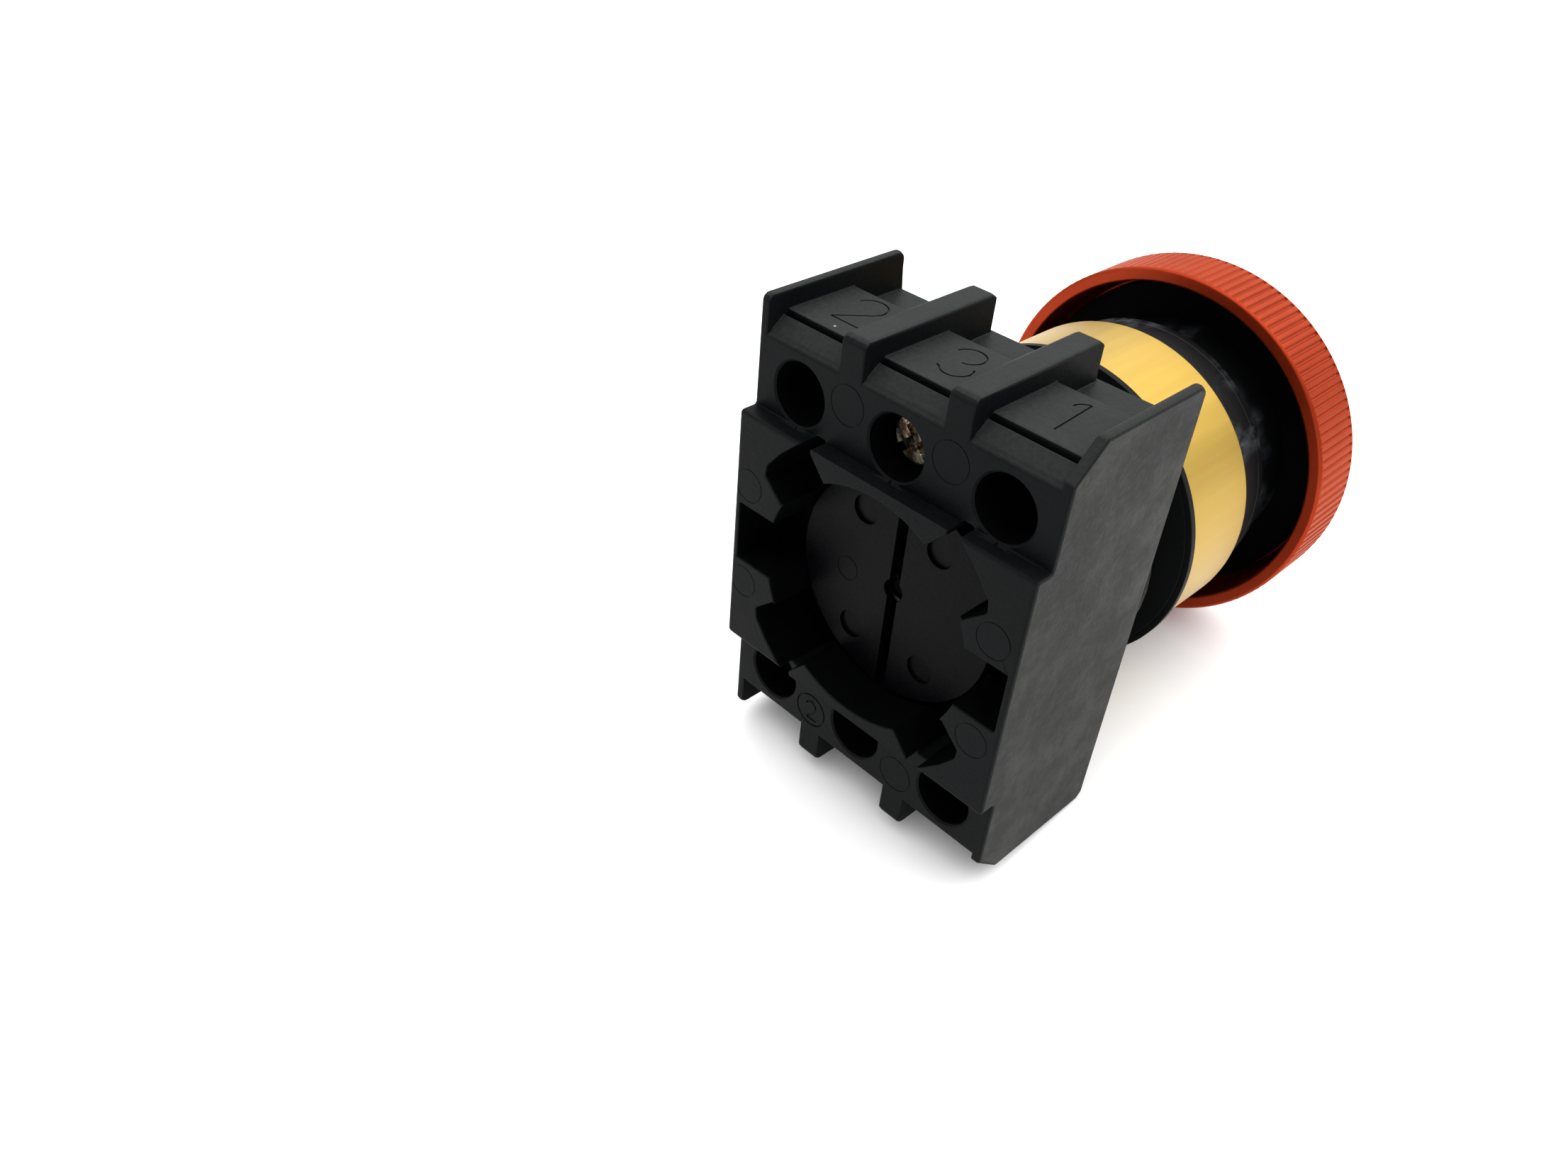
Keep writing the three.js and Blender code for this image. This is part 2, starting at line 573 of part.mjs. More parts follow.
const clampPlateFrontY = STRIP_FRONT_Y + STRIP + CLAMP_TRAVEL + CLEARANCE;
const clampPlateY = [clampPlateFrontY, clampPlateFrontY + 0.9];

// A U-shaped strip: the tapped leg carries the screw, the front leg carries the wire and runs inwards
// to the fixed contact.
function fixedContact() {
  const [x, arm] = [LEG_HALF_WIDTH, ARM_HALF_WIDTH];
  const tappedLegEndY = TAPPED_LEG_Y + STRIP;
  const frontLegEndY = STRIP_FRONT_Y + STRIP;
  const strip = join(
    box(-x, x, TAPPED_LEG_Y, tappedLegEndY, ...LEG_Z),
    box(-x, x, STRIP_FRONT_Y, tappedLegEndY, LEG_Z[0], LEG_Z[0] + 0.8),
    box(-x, x, STRIP_FRONT_Y, frontLegEndY, ...LEG_Z),
    box(-arm, arm, STRIP_FRONT_Y, frontLegEndY, 5.4, LEG_Z[0] + 0.2),
  );
  const screwHole = rod(SCREW_SHANK_R + CLEARANCE, TAPPED_LEG_Y - 1, THROUGH, 24);
  return strip.subtract(screwHole.translate([0, 0, TERMINAL_Z]));
}

function terminalScrew() {
  const headFrontY = SCREW_HEAD_Y - SCREW_HEAD_HEIGHT;
  const tipY = clampPlateY[1] + CLEARANCE;
  const screw = turned([
    [0, tipY], [SCREW_SHANK_R - 0.4, tipY], [SCREW_SHANK_R, tipY + 0.4], [SCREW_SHANK_R, headFrontY],
    [SCREW_HEAD_R, headFrontY], [SCREW_HEAD_R, SCREW_HEAD_Y - 0.3], [SCREW_HEAD_R - 0.3, SCREW_HEAD_Y],
    [0, SCREW_HEAD_Y],
  ], 28);
  const [driveY, half] = [SCREW_HEAD_Y - DRIVE_DEPTH, DRIVE_HALF_WIDTH];
  const slot = box(-3, 3, driveY, SCREW_HEAD_Y + 1, -half, half);
  const cross = box(-half, half, driveY, SCREW_HEAD_Y + 1, -1.2, 1.2);
  return cut(screw, join(slot, cross).rotate([0, 45, 0])).translate([0, 0, TERMINAL_Z]);
}

const fixedTip = rod(TIP_R, STRIP_FRONT_Y + STRIP, STRIP_FRONT_Y + STRIP + TIP_HEIGHT, 20);
const movingTip = rod(TIP_R, bridgeFrontY - TIP_HEIGHT, bridgeFrontY, 20);

for (const [end, turn] of [['top', 0], ['bottom', Math.PI]]) {
  const terminal = new THREE.Group();
  terminal.rotation.y = turn;
  contactBlock.add(terminal);
  place(terminal, `fixed_contact_${end}`, fixedContact(), BRASS);
  place(terminal, `fixed_tip_${end}`, fixedTip.translate([0, 0, TIP_Z]), SILVER);
  place(terminal, `moving_tip_${end}`, movingTip.translate([0, 0, TIP_Z]), SILVER);
  place(terminal, `clamp_plate_${end}`, box(-2.6, 2.6, ...clampPlateY, 12.5, 16.4), STEEL);
  place(terminal, `terminal_screw_${end}`, terminalScrew(), STEEL);
}

export default button;
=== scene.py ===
"""Looks of the emergency stop button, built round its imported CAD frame. Metres, +Z up.

The button's axis is Y: the red head faces -Y and the contact block is on +Y. Sizes below are in
millimetres where they stand before MM. Moulded and stamped pieces start from the CAD node's own
mesh, whose flat faces are joined and whose edges are then rounded; the turned and wound ones are
made here, from profiles and helices.
"""

import json
import math

import bmesh
import bpy
from mathutils import Matrix, Vector


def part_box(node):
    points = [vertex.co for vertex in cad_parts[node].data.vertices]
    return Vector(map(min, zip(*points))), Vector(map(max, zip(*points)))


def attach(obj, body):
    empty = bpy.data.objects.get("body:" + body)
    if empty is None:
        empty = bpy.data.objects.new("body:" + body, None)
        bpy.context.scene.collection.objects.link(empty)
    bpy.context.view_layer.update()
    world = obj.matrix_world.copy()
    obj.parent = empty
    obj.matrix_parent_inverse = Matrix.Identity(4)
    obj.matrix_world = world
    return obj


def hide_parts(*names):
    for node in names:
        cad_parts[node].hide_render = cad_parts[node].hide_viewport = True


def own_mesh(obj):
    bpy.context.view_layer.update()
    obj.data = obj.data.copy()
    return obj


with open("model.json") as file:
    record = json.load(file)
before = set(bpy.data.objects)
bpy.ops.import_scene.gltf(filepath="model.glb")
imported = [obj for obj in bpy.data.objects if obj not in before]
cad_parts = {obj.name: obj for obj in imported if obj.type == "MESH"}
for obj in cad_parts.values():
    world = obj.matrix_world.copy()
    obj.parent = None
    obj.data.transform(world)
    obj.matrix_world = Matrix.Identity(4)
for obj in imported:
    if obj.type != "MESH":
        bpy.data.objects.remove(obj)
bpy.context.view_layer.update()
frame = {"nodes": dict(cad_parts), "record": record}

MM = 0.001
BODY_OF = {
    node: body
    for body, nodes in frame["record"]["behaviour"]["bodies"].items()
    for node in nodes
}


# ---------------------------------------------------------------- camera, floor and light

SENSOR_WIDTH = 36
LENS = 27.96
CAMERA_PLACE = Vector((-47.13, 83.96, 59.09)) * MM
CAMERA_RIGHT = Vector((-0.69223, -0.71819, 0.07094))
CAMERA_UP = Vector((0.47614, -0.38062, 0.79273))
CAMERA_BACK = Vector((-0.54233, 0.58252, 0.60543))


def make_camera():
    data = bpy.data.cameras.new("camera")
    data.sensor_width = SENSOR_WIDTH
    data.lens = LENS
    data.clip_start = 5 * MM
    camera = bpy.data.objects.new("camera", data)
    bpy.context.scene.collection.objects.link(camera)
    turn = Matrix((CAMERA_RIGHT, CAMERA_UP, CAMERA_BACK)).transposed().to_4x4()
    camera.matrix_world = Matrix.Translation(CAMERA_PLACE) @ turn
    bpy.context.scene.camera = camera


# The button lies on the front edges of the block's side walls and on the shoulder of its head.
FLOOR_SLOPE = 0.113
FLOOR_UP = Vector((0, FLOOR_SLOPE, 1)).normalized()
FLOOR_POINT = Vector((0, 7.35, -21.0)) * MM
FLOOR_HALF = 1.5

# The sky's strength grows from the first to the second value between these two cosines of the angle
# to the bright side.
BRIGHT_SIDE = Vector((0.0, -0.25, 0.97)).normalized()
SKY_COSINES = (0.2, 1.0)
SKY_STRENGTHS = (0.72, 2.9)
LAMP_PLACE = Vector((-0.25, -0.1, 0.6))
LAMP_SIZE = 0.8
LAMP_WATTS = 0.8


def make_floor():
    bm = bmesh.new()
    bmesh.ops.create_grid(bm, x_segments=2, y_segments=2, size=FLOOR_HALF)
    floor = mesh_object("floor", bm)
    tilt = Vector((0, 0, 1)).rotation_difference(FLOOR_UP)
    floor.matrix_world = Matrix.Translation(FLOOR_POINT) @ tilt.to_matrix().to_4x4()
    made = Material("white_table", (0.93, 0.93, 0.93), 0.7, Specular_IOR_Level=0.2)
    floor.data.materials.append(made.block)


def make_light():
    """A square soft box above the button, which faces it."""
    data = bpy.data.lights.new("overhead", "AREA")
    data.shape = "SQUARE"
    data.size = LAMP_SIZE
    data.energy = LAMP_WATTS
    light = bpy.data.objects.new("overhead", data)
    light.location = LAMP_PLACE
    light.rotation_mode = "QUATERNION"
    light.rotation_quaternion = (-LAMP_PLACE).to_track_quat("-Z", "Y")
    bpy.context.scene.collection.objects.link(light)


def make_world():
    """White surroundings, brightest high up on one side."""
    world = bpy.data.worlds.new("studio")
    world.use_nodes = True
    nodes, links = world.node_tree.nodes, world.node_tree.links
    direction = nodes.new("ShaderNodeTexCoord")
    towards = nodes.new("ShaderNodeVectorMath")
    towards.operation = "DOT_PRODUCT"
    towards.inputs[1].default_value = BRIGHT_SIDE
    glow = nodes.new("ShaderNodeMapRange")
    glow.interpolation_type = "SMOOTHSTEP"
    sockets = ("From Min", "From Max", "To Min", "To Max")
    for socket, value in zip(sockets, (*SKY_COSINES, *SKY_STRENGTHS)):
        glow.inputs[socket].default_value = value
    links.new(direction.outputs["Generated"], towards.inputs[0])
    links.new(towards.outputs["Value"], glow.inputs["Value"])
    links.new(glow.outputs["Result"], nodes["Background"].inputs["Strength"])
    nodes["Background"].inputs["Color"].default_value = (1, 1, 1, 1)
    bpy.context.scene.world = world
    bpy.context.scene.view_settings.view_transform = "Standard"


# ---------------------------------------------------------------- materials

class Material:
    """A Principled material, with short ways to add nodes and links."""

    def __init__(self, name, colour, roughness, metallic=0.0, **sockets):
        self.block = bpy.data.materials.new(name)
        self.block.use_nodes = True
        self.tree = self.block.node_tree
        self.shader = self.tree.nodes["Principled BSDF"]
        self.shader.inputs["Base Color"].default_value = (*colour, 1)
        self.shader.inputs["Roughness"].default_value = roughness
        self.shader.inputs["Metallic"].default_value = metallic
        for socket, value in sockets.items():
            self.shader.inputs[socket.replace("_", " ")].default_value = value

    def link(self, value, target):
        """Links an output to a socket, or sets the socket to a plain value."""
        if hasattr(value, "is_output"):
            self.tree.links.new(value, target)
        else:
            target.default_value = value

    def node(self, kind, inputs=None, **settings):
        made = self.tree.nodes.new(kind)
        for key, value in settings.items():
            setattr(made, key, value)
        for key, value in (inputs or {}).items():
            self.link(value, made.inputs[key])
        return made

    def place(self, stretch=(1, 1, 1)):
        """Object coordinates in metres, stretched."""
        coordinates = self.node("ShaderNodeTexCoord").outputs["Object"]
        mapped = self.node("ShaderNodeMapping", {"Vector": coordinates, "Scale": stretch})
        return mapped.outputs["Vector"]

    def noise(self, scale, detail=3.0, roughness=0.55, stretch=(1, 1, 1)):
        inputs = {"Vector": self.place(stretch), "Scale": scale, "Detail": detail, "Roughness": roughness}
        return self.node("ShaderNodeTexNoise", inputs).outputs["Fac"]

    def span(self, value, low, high, to_low=0.0, to_high=1.0):
        inputs = {"Value": value, "From Min": low, "From Max": high, "To Min": to_low, "To Max": to_high}
        return self.node("ShaderNodeMapRange", inputs).outputs["Result"]

    def mix(self, factor, a, b):
        made = self.node("ShaderNodeMix", data_type="RGBA")
        for socket, value in ((0, factor), (6, a), (7, b)):
            self.link((*value, 1) if isinstance(value, tuple) else value, made.inputs[socket])
        return made.outputs[2]

    def maths(self, operation, a, b):
        made = self.node("ShaderNodeMath", operation=operation)
        self.link(a, made.inputs[0])
        self.link(b, made.inputs[1])
        return made.outputs[0]

    def set(self, socket, value):
        self.link(value, self.shader.inputs[socket])

    def bump(self, height, depth):
        inputs = {"Height": height, "Strength": 1.0, "Distance": depth * MM}
        self.set("Normal", self.node("ShaderNodeBump", inputs).outputs["Normal"])

    def on_top(self, low, high):
        """1 on upward faces above the height high in millimetres, 0 below the height low."""
        coordinates = self.node("ShaderNodeTexCoord").outputs
        rise = self.node("ShaderNodeSeparateXYZ", {"Vector": coordinates["Normal"]}).outputs["Z"]
        height = self.node("ShaderNodeSeparateXYZ", {"Vector": coordinates["Object"]}).outputs["Z"]
        return self.maths("MULTIPLY", self.span(rise, 0.2, 0.9), self.span(height, low * MM, high * MM))

    def specks(self, scale, size, share):
        """1 in a few small round spots, 0 elsewhere."""
        cells = self.node("ShaderNodeTexVoronoi", {"Vector": self.place(), "Scale": scale})
        near = self.span(cells.outputs["Distance"], size, size * 0.6)
        chance = self.node("ShaderNodeSeparateColor", {"Color": cells.outputs["Color"]})
        chosen = self.maths("LESS_THAN", chance.outputs["Red"], share)
        return self.maths("MULTIPLY", near, chosen)


DUST = (0.5, 0.5, 0.48)
# Painted top light: upward faces above these heights, in millimetres, take this lighter, greenish tint.
TOP_LIGHT_TINT = (0.02, 0.022, 0.0215)
TOP_LIGHT_HEIGHTS = (16.9, 17.5)


def moulded_plastic(name, dark, light, roughness, gloss=0.055, dust=0.03):
    """Injection moulded plastic: spark-eroded grain, faint cloudiness, a few specks of dust, and a
    painted top light, a lighter tint on the upward faces high on the block."""
    made = Material(name, dark, roughness, Specular_IOR_Level=gloss)
    clouds = made.span(made.noise(170, 4), 0.35, 0.7)
    grain = made.noise(2600, 3, 0.7)
    uneven = made.maths("ADD", made.maths("MULTIPLY", clouds, 0.6), made.span(grain, 0.3, 0.7, 0, 0.4))
    # Painted top light: upward faces high on the block are tinted lighter, as if lit from above.
    film = made.maths("MULTIPLY", made.on_top(*TOP_LIGHT_HEIGHTS), made.span(grain, 0.3, 0.7, 0.6, 1.0))
    tinted = made.mix(film, made.mix(uneven, dark, light), TOP_LIGHT_TINT)
    made.set("Base Color", made.mix(made.specks(420, 0.055, dust), tinted, DUST))
    made.set("Roughness", made.span(uneven, 0, 1, roughness - 0.08, roughness + 0.08))
    made.bump(grain, 0.03)
    return made.block


def scuffed_plastic_and_sheen():
    """The outer face of a side wall: the same plastic, rubbed to a blotchy, speckled grey that is partly
    painted sheen.
    """
    made = Material("scuffed_plastic_and_sheen", (0.02, 0.02, 0.02), 0.5, Specular_IOR_Level=0.085)
    broad = made.span(made.noise(100, 3, 0.5), 0.42, 0.6)
    blotches = made.span(made.noise(300, 5, 0.7), 0.4, 0.64)
    speckle = made.span(made.noise(1900, 3, 0.7), 0.45, 0.75)
    # The whole face is lighter than the black plastic: partly real rubbing, partly painted sheen from the
    # floor's grazing reflection.
    tinted = made.mix(broad, (0.0005, 0.0008, 0.0013), (0.0125, 0.0135, 0.0115))
    rubbed = made.mix(made.maths("MULTIPLY", blotches, 0.6), tinted, (0.019, 0.0205, 0.018))
    speckled = made.mix(made.maths("MULTIPLY", speckle, 0.35), rubbed, (0.04, 0.04, 0.037))
    made.set("Base Color", made.mix(made.specks(420, 0.05, 0.04), speckled, DUST))
    made.set("Roughness", made.span(blotches, 0, 1, 0.42, 0.58))
    made.bump(made.noise(2600, 3, 0.7), 0.02)
    return made.block


def red_anodised():
    """Satin anodised aluminium: saturated red with a fine blasted grain."""
    made = Material("red_anodised", (0.36, 0.035, 0.01), 0.42, 0.95, Specular_Tint=(1, 0.75, 0.65, 1))
    clouds = made.span(made.noise(260, 3), 0.3, 0.7)
    grain = made.noise(7000, 2)
    made.set("Base Color", made.mix(clouds, (0.285, 0.029, 0.009), (0.32, 0.036, 0.011)))
    made.set("Roughness", made.span(grain, 0.3, 0.7, 0.36, 0.5))
    made.bump(grain, 0.006)
    return made.block


def arrow_paint():
    """Off-white paint, a little uneven and rubbed."""
    made = Material("arrow_paint", (0.75, 0.74, 0.7), 0.5, Specular_IOR_Level=0.3)
    worn = made.span(made.noise(1400, 4, 0.65), 0.35, 0.6)
    made.set("Base Color", made.mix(worn, (0.6, 0.58, 0.53), (0.78, 0.77, 0.73)))
    made.set("Roughness", made.span(worn, 0, 1, 0.62, 0.45))
    made.bump(made.noise(3000, 2), 0.008)
    return made.block


def gold_anodised():
    """Gold anodised aluminium, finely brushed along the axis of the sleeve, with a few dark specks."""
    made = Material("gold_anodised", (0.43, 0.28, 0.052), 0.38, 1.0)
    streaks = made.noise(850, 4, 0.6, stretch=(1, 0.03, 1))
    tinted = made.mix(made.span(streaks, 0.35, 0.65), (0.41, 0.265, 0.047), (0.45, 0.3, 0.058))
    made.set("Base Color", made.mix(made.specks(330, 0.05, 0.02), tinted, (0.12, 0.08, 0.03)))
    made.set("Roughness", made.span(streaks, 0.35, 0.65, 0.36, 0.42))
    made.bump(streaks, 0.002)
    return made.block


def satin_skirt():
    """Black anodised skirt of the plunger, with a few greasy smears coloured light and bluish as painted
    sheen.
    """
    made = Material("satin_skirt", (0.004, 0.004, 0.0045), 0.35, Specular_IOR_Level=0.12)
    patches = made.span(made.noise(95, 2), 0.52, 0.68)
    streaks = made.span(made.noise(700, 4, 0.7, stretch=(1, 0.5, 1)), 0.42, 0.66)
    smears_and_sheen = made.maths("MULTIPLY", patches, streaks)
    # Painted sheen: the smears are coloured light and bluish, standing for reflections on the satin
    # surface; their lower roughness is the real grease.
    made.set("Base Color", made.mix(smears_and_sheen, (0.002, 0.0022, 0.0026), (0.07, 0.078, 0.09)))
    made.set("Roughness", made.span(smears_and_sheen, 0, 1, 0.42, 0.27))
    made.bump(made.maths("ADD", made.noise(2400, 3), smears_and_sheen), 0.012)
    return made.block


def soft_rubber():
    """Smooth black seal, a little greasy, with dust."""
    made = Material("soft_rubber", (0.005, 0.0053, 0.0055), 0.5, Specular_IOR_Level=0.06)
    clouds = made.noise(300, 3)
    made.set("Base Color", made.mix(made.specks(500, 0.05, 0.03), (0.005, 0.0053, 0.0055), DUST))
    made.set("Roughness", made.span(clouds, 0.3, 0.7, 0.42, 0.58))
    made.bump(made.noise(3500, 2), 0.005)
    return made.block


def worn_metal(name, bright, dull, roughness, grain=(1, 1, 1)):
    """Plated or bare metal with a blotchy film and fine tool marks along the grain."""
    made = Material(name, bright, roughness, 1.0)
    film = made.span(made.noise(900, 4, 0.6), 0.36, 0.68)
    marks = made.noise(2600, 2, stretch=grain)
    made.set("Base Color", made.mix(film, bright, dull))
    uneven = made.maths("ADD", film, marks)
    made.set("Roughness", made.span(uneven, 0.5, 1.5, roughness - 0.08, roughness + 0.12))
    made.bump(marks, 0.006)
    return made.block


def screw_metal():
    """Tin plate worn through to copper and brown tarnish."""
    made = Material("screw_metal", (0.7, 0.68, 0.62), 0.3, 1.0)
    worn = made.span(made.noise(900, 3, 0.6), 0.38, 0.56)
    tarnish = made.span(made.noise(1300, 3, 0.6), 0.36, 0.62)
    bare = made.mix(tarnish, (0.26, 0.165, 0.1), (0.04, 0.024, 0.015))
    made.set("Base Color", made.mix(worn, (0.6, 0.54, 0.43), bare))
    made.set("Roughness", made.span(tarnish, 0, 1, 0.22, 0.45))
    made.bump(made.maths("ADD", made.noise(2400, 2), worn), 0.02)
    return made.block


# ---------------------------------------------------------------- mesh tools

def mesh_object(name, bm):
    mesh = bpy.data.meshes.new(name)
    bm.to_mesh(mesh)
    bm.free()
    made = bpy.data.objects.new(name, mesh)
    bpy.context.scene.collection.objects.link(made)
    return made


def split_wide_faces(bm):
    """Faces of five or more corners can fold when they are bevelled or cut; triangles can't."""
    wide = [face for face in bm.faces if len(face.verts) > 4]
    bmesh.ops.triangulate(bm, faces=wide, ngon_method="BEAUTY")


def bake_modifiers(piece):
    graph = bpy.context.evaluated_depsgraph_get()
    mesh = bpy.data.meshes.new_from_object(piece.evaluated_get(graph))
    piece.modifiers.clear()
    piece.data = mesh


def cut_away(piece, cutter):
    """Takes a closed cutter out of a closed piece."""
    boolean = piece.modifiers.new("cut", "BOOLEAN")
    boolean.operation = "DIFFERENCE"
    boolean.solver = "MANIFOLD"
    boolean.object = cutter
    bake_modifiers(piece)
    bm = bmesh.new()
    bm.from_mesh(piece.data)
    split_wide_faces(bm)
    bm.to_mesh(piece.data)
    bm.free()
    bpy.data.objects.remove(cutter)


def joined_faces(seed, left, limit, corner=None):
    """Takes from the set left the faces that join on to seed across edges flatter than the limit, and,
    where a corner is given, only across the edges that end there."""
    group = [seed]
    for face in group:
        for edge in face.edges:
            if (corner is None or corner in edge.verts) and edge.calc_face_angle(0) < limit:
                found = [other for other in edge.link_faces if other in left]
                left.difference_update(found)
                group.extend(found)
    return group


FLAT_DEGREES = 0.6
SHARP_DEGREES = 32


def flat_areas(bm):
    """For each face, the area of the whole flat region that it is a part of."""
    areas = {}
    left = set(bm.faces)
    while left:
        region = joined_faces(left.pop(), left, math.radians(FLAT_DEGREES))
        total = sum(face.calc_area() for face in region)
        areas.update((face, total) for face in region)
    return areas


def shade(piece):
    """Smooth shading led by the widest flat regions, so that they stay flat beside rounded edges."""
    sharp = math.radians(SHARP_DEGREES)
    bm = bmesh.new()
    bm.from_mesh(piece.data)
    areas = flat_areas(bm)
    normals = [Vector((0, 0, 1))] * len(piece.data.loops)
    for vertex in bm.verts:
        left = set(vertex.link_faces)
        while left:
            fan = joined_faces(left.pop(), left, sharp, corner=vertex)
            widest = max(areas[face] for face in fan) or 1
            total = sum((face.normal * (areas[face] / widest) ** 2 for face in fan), Vector())
            for face in fan:
                place = list(face.verts).index(vertex)
                normals[piece.data.polygons[face.index].loop_start + place] = total.normalized()
    bm.free()
    for polygon in piece.data.polygons:
        polygon.use_smooth = True
    piece.data.set_sharp_from_angle(angle=sharp)
    piece.data.normals_split_custom_set(normals)


def stand_for(piece, node, material):
    """Finishes a piece that stands for one CAD node."""
    shade(piece)
    piece.data.materials.clear()
    piece.data.materials.append(material)
    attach(piece, BODY_OF[node])
    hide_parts(node)
    return piece


def welded(node):
    """The CAD node's mesh, with its flat faces joined and then cut into well shaped ones."""
    bm = bmesh.new()
    bm.from_mesh(frame["nodes"][node].data)
    bmesh.ops.remove_doubles(bm, verts=bm.verts, dist=0.002 * MM)
    bmesh.ops.dissolve_limit(bm, angle_limit=math.radians(0.5), verts=bm.verts, edges=bm.edges)
    split_wide_faces(bm)
    return bm


def rounded(node, width):
    """A copy of the CAD node with its sharp edges rounded. The width is in millimetres, or a function
    that gives it at an edge's middle point."""
    bm = welded(node)
    weights = bm.edges.layers.float.new("bevel_weight_edge")
    sharp = [edge for edge in bm.edges if edge.calc_face_angle(0) > math.radians(SHARP_DEGREES)]
    wanted = {}
    for edge in sharp:
        middle = (edge.verts[0].co + edge.verts[1].co) / (2 * MM)
        wanted[edge] = width(middle) if callable(width) else width
    widest = max(wanted.values())
    for edge, size in wanted.items():
        edge[weights] = size / widest
    piece = mesh_object(f"{node}_finished", bm)
    bevel = piece.modifiers.new("rounding", "BEVEL")
    bevel.limit_method = "WEIGHT"
    bevel.width = widest * MM
    bevel.segments = 2
    bevel.miter_outer = "MITER_ARC"
    bevel.loop_slide = False
    bevel.use_clamp_overlap = False
    weld = piece.modifiers.new("weld", "WELD")
    weld.merge_threshold = 0.003 * MM
    bake_modifiers(piece)
    return piece


def softened(corners, radius, steps=3, closed=True):
    """The [r, y] profile with its corners rounded."""
    points = []
    count = len(corners)
    for i, corner in enumerate(corners):
        if not closed and i in (0, count - 1):
            points.append(corner)
            continue
        here = Vector(corner)
        before = Vector(corners[i - 1]) - here
        after = Vector(corners[(i + 1) % count]) - here
        reach = min(radius, 0.45 * before.length, 0.45 * after.length)
        start = here + before.normalized() * reach
        end = here + after.normalized() * reach
        for step in range(steps + 1):
            t = step / steps
            points.append(start * (1 - t) ** 2 + here * 2 * t * (1 - t) + end * t ** 2)
    return [tuple(point) for point in points]


def turned(name, profile, columns=180, closed=True, centre=(0, 0), radius_at=None):
    """A solid of revolution about an axis along Y through centre (x, z), from [r, y] millimetres."""
    bm = bmesh.new()
    rings = []
    for r, y in profile:
        ring = []
        for i in range(columns if r > 0 else 1):
            angle = 2 * math.pi * i / columns
            reach = radius_at(r, y, i) if radius_at else r
            x, z = centre[0] + reach * math.cos(angle), centre[1] + reach * math.sin(angle)
            ring.append(bm.verts.new(Vector((x, y, z)) * MM))
        rings.append(ring)
    following = rings[1:] + rings[:1] if closed else rings[1:]
    for one, other in zip(rings, following):
        for i in range(columns):
            quad = [
                one[i % len(one)], one[(i + 1) % len(one)],
                other[(i + 1) % len(other)], other[i % len(other)],
            ]
            bm.faces.new(list(dict.fromkeys(quad)))
    bmesh.ops.recalc_face_normals(bm, faces=bm.faces)
    return mesh_object(name, bm)


def prism(outline, place, low, high):
    """A closed cutter over an outline of (s, t) points, from height low to high above a surface."""
    bm = bmesh.new()
    loops = [[bm.verts.new(place(s, t, h) * MM) for s, t in outline] for h in (low, high)]
    bm.faces.new(loops[0])
    bm.faces.new(reversed(loops[1]))
    for i in range(len(outline)):
        j = (i + 1) % len(outline)
        bm.faces.new([loops[0][j], loops[0][i], loops[1][i], loops[1][j]])
    bmesh.ops.recalc_face_normals(bm, faces=bm.faces)
    return mesh_object("cutter", bm)


def arc(centre, radius, start, end, steps=14):
    """Points of a circular arc, with its angles in degrees."""
    angles = [math.radians(start + (end - start) * i / steps) for i in range(steps + 1)]
    return [(centre[0] + radius * math.cos(a), centre[1] + radius * math.sin(a)) for a in angles]


def stroke(points, width):
    """The outline of a pen stroke of even width along the points."""
    left, right = [], []
    for i, point in enumerate(points):
        before, after = Vector(points[max(i - 1, 0)]), Vector(points[min(i + 1, len(points) - 1)])
        along = (after - before).normalized()
        across = Vector((-along.y, along.x)) * width / 2
        left.append(tuple(Vector(point) + across))
        right.append(tuple(Vector(point) - across))
    return left + right[::-1]


def box_cutter(low, high):
    corners = [(low[0], low[1]), (high[0], low[1]), (high[0], high[1]), (low[0], high[1])]
    return prism(corners, lambda s, t, h: Vector((s, t, h)), low[2], high[2])


# ---------------------------------------------------------------- contact block

COLLAR_Y = 24.5
TERMINAL_FACE_Y = 22.88
TILE_TOP_Z = 19.35
TERMINAL_Z = 14.2
ACCESS_HOLES_X = (-10, 0, 10)
ACCESS_HOLE_R = 2.65
WELL_RADIUS = 10.5
COLLAR_HALF_HEIGHT = 11.3
WALL_X = 14.6
DIGIT_WIDTH = 0.16
DIGIT_DEPTH = 0.12
MARK_WIDTH = 0.08
MARK_DEPTH = 0.05
ABOVE = 0.4

# Each tile's digit, with the places of its middle and its foot as they are seen from behind, and the
# centres (x, z) of the round marks and recesses.
TILE_DIGITS = (("2", -10.1, 5.6), ("3", 0.15, 5.35), ("1", 10.3, 5.2))
TERMINAL_MARK_R = 1.65
TERMINAL_MARKS = ((-5.0, -15.5), (-5.0, 15.5), (5.0, 15.5))
NUMBERED_MARK = (5.15, -15.4)
COLLAR_MARK_R = 1.5
COLLAR_MARKS = [(x, z) for x in (-12.4, 13.2) for z in (-4.9, 4.9)]
PIT_PLACE = (3.85, 5.85)
PIT_RADIUS = 1.28
PIT_DEPTH = 0.3
COVER_MARK = (5.0, -0.6)
COVER_MARK_R = 1.1


def digit_strokes(digit):
    """A plain digit 4.9 mm high as pen strokes, with its origin at the middle of its foot."""
    if digit == "1":
        flag = arc((-0.1, 3.85), 1.05, 180, 100)
        return [flag, [flag[-1], (0, 0)]]
    if digit == "2":
        bowl = arc((-0.05, 3.45), 1.45, 165, -38)
        return [[*bowl, (-0.95, 0.05)], [(-1.0, 0), (1.85, 0)]]
    upper = arc((-0.15, 3.6), 1.27, 173, -80)
    lower = arc((0.4, 1.35), 1.3, 36, -148)
    return [upper, [*lower, (-1.0, 0.75)]]


